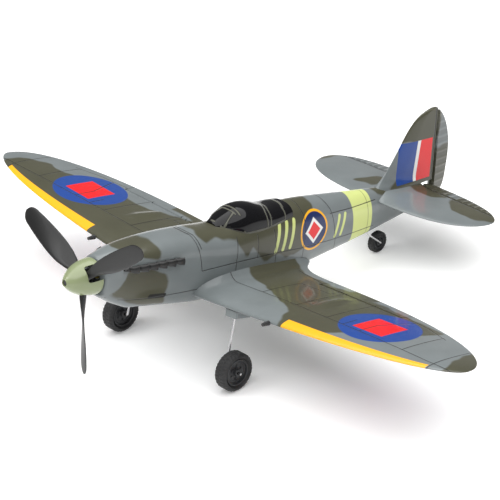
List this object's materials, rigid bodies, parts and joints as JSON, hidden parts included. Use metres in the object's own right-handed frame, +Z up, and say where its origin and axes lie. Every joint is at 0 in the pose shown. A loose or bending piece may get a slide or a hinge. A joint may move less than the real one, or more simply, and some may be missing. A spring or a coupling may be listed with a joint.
{
  "type": "rc warbird plane",
  "caption": "Foam radio-controlled low-wing fighter model with an elliptical wing, geared nose motor, hinged control surfaces and fixed wire tail-dragger undercarriage.",
  "frame": {"origin": "centre of the bounding box in plan, on the ground plane under the three wheels", "axes": "+X towards the port (left) wing tip, +Y towards the tail, +Z up; the model stands on its three wheels, nose up"},
  "size_m": [0.3976, 0.3166, 0.1168],
  "materials": {
    "foam_grey": "painted moulded foam, grey and olive patches, semi-gloss",
    "foam_olive": "painted moulded foam, olive brown, semi-gloss",
    "sky_green": "moulded plastic, pale sky green, gloss",
    "black_gloss": "vacuum-formed plastic, black, high gloss",
    "black_satin": "moulded plastic, black, satin",
    "rubber": "foam rubber, black, matt",
    "steel": "bright drawn wire",
    "motor_can": "plated steel can",
    "brass": "turned brass",
    "nylon": "moulded nylon, natural white",
    "servo_case": "moulded plastic, translucent blue",
    "battery_foil": "shrink-wrapped foil pouch",
    "circuit_board": "glass-fibre circuit board with solder mask",
    "carbon": "pultruded carbon strip"
  },
  "bodies": {
    "airframe_body": {"aileron_servo_left": "servo_case", "aileron_servo_right": "servo_case", "battery": "battery_foil", "bearing_front": "brass", "bearing_rear": "brass", "canopy": "black_gloss", "elevator_servo": "servo_case", "exhaust_left": "black_satin", "exhaust_right": "black_satin", "fin": "foam_olive", "fuselage_left": "foam_grey", "fuselage_right": "foam_grey", "gear_block_left": "black_satin", "gear_block_right": "black_satin", "gear_leg_left": "steel", "gear_leg_right": "steel", "gearbox_frame": "black_satin", "gun_left": "black_satin", "gun_right": "black_satin", "motor": "motor_can", "receiver_board": "circuit_board", "rudder_servo": "servo_case", "stabilizer": "foam_grey", "tail_leg": "steel", "wing_joiner": "carbon", "wing_left": "foam_grey", "wing_right": "foam_grey"},
    "prop_assembly": {"propeller": "black_satin", "spinner": "sky_green", "spinner_screw": "black_satin", "prop_shaft": "steel", "spur_gear": "nylon"},
    "motor_rotor": {"motor_pinion": "brass"},
    "main_wheel_left": {"tyre_left": "rubber", "wheel_left": "black_satin"},
    "main_wheel_right": {"tyre_right": "rubber", "wheel_right": "black_satin"},
    "tail_wheel_assembly": {"tail_tyre": "rubber", "tail_wheel": "black_satin"},
    "aileron_left_assembly": {"aileron_left": "foam_grey", "aileron_horn_left": "nylon"},
    "aileron_right_assembly": {"aileron_right": "foam_grey", "aileron_horn_right": "nylon"},
    "aileron_arm_left": {"aileron_servo_arm_left": "nylon"},
    "aileron_arm_right": {"aileron_servo_arm_right": "nylon"},
    "aileron_rod_left": {"aileron_pushrod_left": "steel"},
    "aileron_rod_right": {"aileron_pushrod_right": "steel"},
    "elevator_assembly": {"elevator_left": "foam_olive", "elevator_right": "foam_olive", "elevator_horn": "nylon"},
    "elevator_arm": {"elevator_servo_arm": "nylon"},
    "elevator_rod": {"elevator_pushrod": "steel"},
    "rudder_assembly": {"rudder": "foam_olive", "rudder_horn": "nylon"},
    "rudder_arm": {"rudder_servo_arm": "nylon"},
    "rudder_rod": {"rudder_pushrod": "steel"},
    "hatch": {"battery_hatch": "black_satin"}
  },
  "joints": [
    {"name": "prop_spin", "type": "hinge", "parent": "airframe_body", "child": "prop_assembly", "pos_m": [0, -0.14426, 0.08208], "axis": [0, 0.9835, -0.181], "continuous": true},
    {"name": "motor_spin", "type": "hinge", "parent": "airframe_body", "child": "motor_rotor", "pos_m": [0, -0.12993, 0.07212], "axis": [0, 0.9835, -0.181], "continuous": true},
    {"name": "wheel_left_spin", "type": "hinge", "parent": "airframe_body", "child": "main_wheel_left", "pos_m": [0.05, -0.08063, 0.0118], "axis": [1, 0, 0], "continuous": true},
    {"name": "wheel_right_spin", "type": "hinge", "parent": "airframe_body", "child": "main_wheel_right", "pos_m": [-0.05, -0.08063, 0.0118], "axis": [1, 0, 0], "continuous": true},
    {"name": "tail_wheel_spin", "type": "hinge", "parent": "airframe_body", "child": "tail_wheel_assembly", "pos_m": [0, 0.09134, 0.007], "axis": [1, 0, 0], "continuous": true},
    {"name": "aileron_left_hinge", "type": "hinge", "parent": "airframe_body", "child": "aileron_left_assembly", "pos_m": [0.05, -0.00957, 0.03493], "axis": [0.993, -0.0591, 0.102], "range_deg": [-20, 20]},
    {"name": "aileron_right_hinge", "type": "hinge", "parent": "airframe_body", "child": "aileron_right_assembly", "pos_m": [-0.05, -0.00957, 0.03493], "axis": [0.993, 0.0591, -0.102], "range_deg": [-20, 20]},
    {"name": "aileron_arm_left_pivot", "type": "hinge", "parent": "airframe_body", "child": "aileron_arm_left", "pos_m": [0.0914, -0.04374, 0.04315], "axis": [1, 0, 0], "range_deg": [-22, 22]},
    {"name": "aileron_arm_right_pivot", "type": "hinge", "parent": "airframe_body", "child": "aileron_arm_right", "pos_m": [-0.0914, -0.04374, 0.04315], "axis": [1, 0, 0], "range_deg": [-22, 22]},
    {"name": "aileron_rod_left_slide", "type": "slide", "parent": "airframe_body", "child": "aileron_rod_left", "axis": [0, 0.9835, -0.181], "range_m": [-0.0024, 0.0024]},
    {"name": "aileron_rod_right_slide", "type": "slide", "parent": "airframe_body", "child": "aileron_rod_right", "axis": [0, 0.9835, -0.181], "range_m": [-0.0024, 0.0024]},
    {"name": "elevator_hinge", "type": "hinge", "parent": "airframe_body", "child": "elevator_assembly", "pos_m": [0, 0.12866, 0.03023], "axis": [1, 0, 0], "range_deg": [-20, 20]},
    {"name": "elevator_arm_pivot", "type": "hinge", "parent": "airframe_body", "child": "elevator_arm", "pos_m": [-0.0083, -0.05044, 0.06481], "axis": [1, 0, 0], "range_deg": [-22, 22]},
    {"name": "elevator_rod_slide", "type": "slide", "parent": "airframe_body", "child": "elevator_rod", "axis": [0, 0.9835, -0.181], "range_m": [-0.0024, 0.0024]},
    {"name": "rudder_hinge", "type": "hinge", "parent": "airframe_body", "child": "rudder_assembly", "pos_m": [0, 0.14036, 0.0297], "axis": [0, 0.181, 0.9835], "range_deg": [-20, 20]},
    {"name": "rudder_arm_pivot", "type": "hinge", "parent": "airframe_body", "child": "rudder_arm", "pos_m": [-0.0083, -0.02839, 0.05201], "axis": [1, 0, 0], "range_deg": [-22, 22]},
    {"name": "rudder_rod_slide", "type": "slide", "parent": "airframe_body", "child": "rudder_rod", "axis": [0, 0.9835, -0.181], "range_m": [-0.0024, 0.0024]},
    {"name": "battery_hatch_slide", "type": "slide", "parent": "airframe_body", "child": "hatch", "axis": [0, -0.3374, -0.9414], "range_m": [0, 0.012]}
  ],
  "couplings": [
    {"joint": "motor_spin", "follows": "prop_spin", "ratio": -5},
    {"joint": "aileron_right_hinge", "follows": "aileron_left_hinge", "ratio": -1},
    {"joint": "aileron_arm_left_pivot", "follows": "aileron_left_hinge", "ratio": 1},
    {"joint": "aileron_arm_right_pivot", "follows": "aileron_left_hinge", "ratio": -1},
    {"joint": "aileron_rod_left_slide", "follows": "aileron_left_hinge", "m_per_rad": 0.006},
    {"joint": "aileron_rod_right_slide", "follows": "aileron_left_hinge", "m_per_rad": -0.006},
    {"joint": "elevator_arm_pivot", "follows": "elevator_hinge", "ratio": 1},
    {"joint": "elevator_rod_slide", "follows": "elevator_hinge", "m_per_rad": 0.006},
    {"joint": "rudder_arm_pivot", "follows": "rudder_hinge", "ratio": -1},
    {"joint": "rudder_rod_slide", "follows": "rudder_hinge", "m_per_rad": -0.006}
  ]
}
